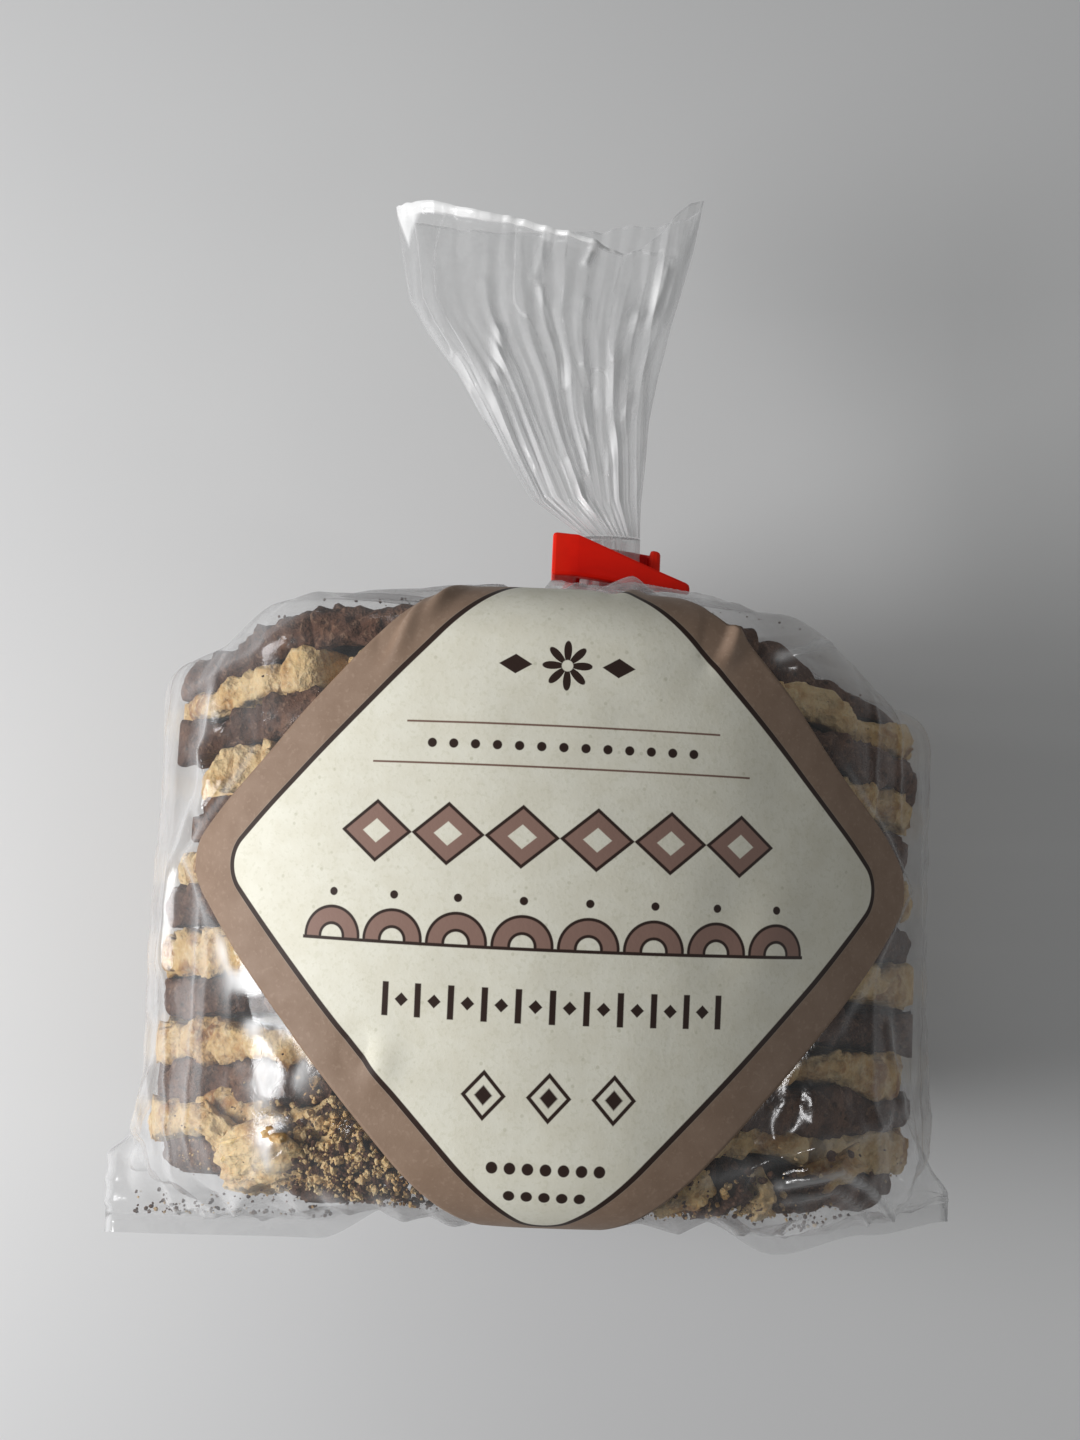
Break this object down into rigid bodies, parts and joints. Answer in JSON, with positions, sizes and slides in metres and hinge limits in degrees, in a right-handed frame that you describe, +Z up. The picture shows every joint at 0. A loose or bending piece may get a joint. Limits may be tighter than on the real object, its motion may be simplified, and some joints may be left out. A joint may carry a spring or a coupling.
{
  "type": "clear bag of stacked pizzelle wafer cookies, closed with a clip",
  "caption": "Clear bag of stacked pizzelle wafers lying label up, with a diamond paper label, a gathered neck held by a plastic clip and a fanned film mouth.",
  "frame": {"origin": "middle of the flat spot on the underside that the bag rests on", "axes": "+Z up through the label, +Y from the heat seal to the film mouth, +X to the right of the upright label"},
  "size_m": [0.1456, 0.1965, 0.13],
  "materials": {
    "clear_film": "clear glossy film",
    "label_paper": "printed uncoated paper",
    "clip_plastic": "moulded, slightly glossy",
    "vanilla_wafer": "baked, matt",
    "chocolate_wafer": "baked, matt"
  },
  "bodies": {
    "root": {"bag_body": "clear_film", "bag_mouth": "clear_film", "label": "label_paper", "clip": "clip_plastic"}
  },
  "joints": []
}
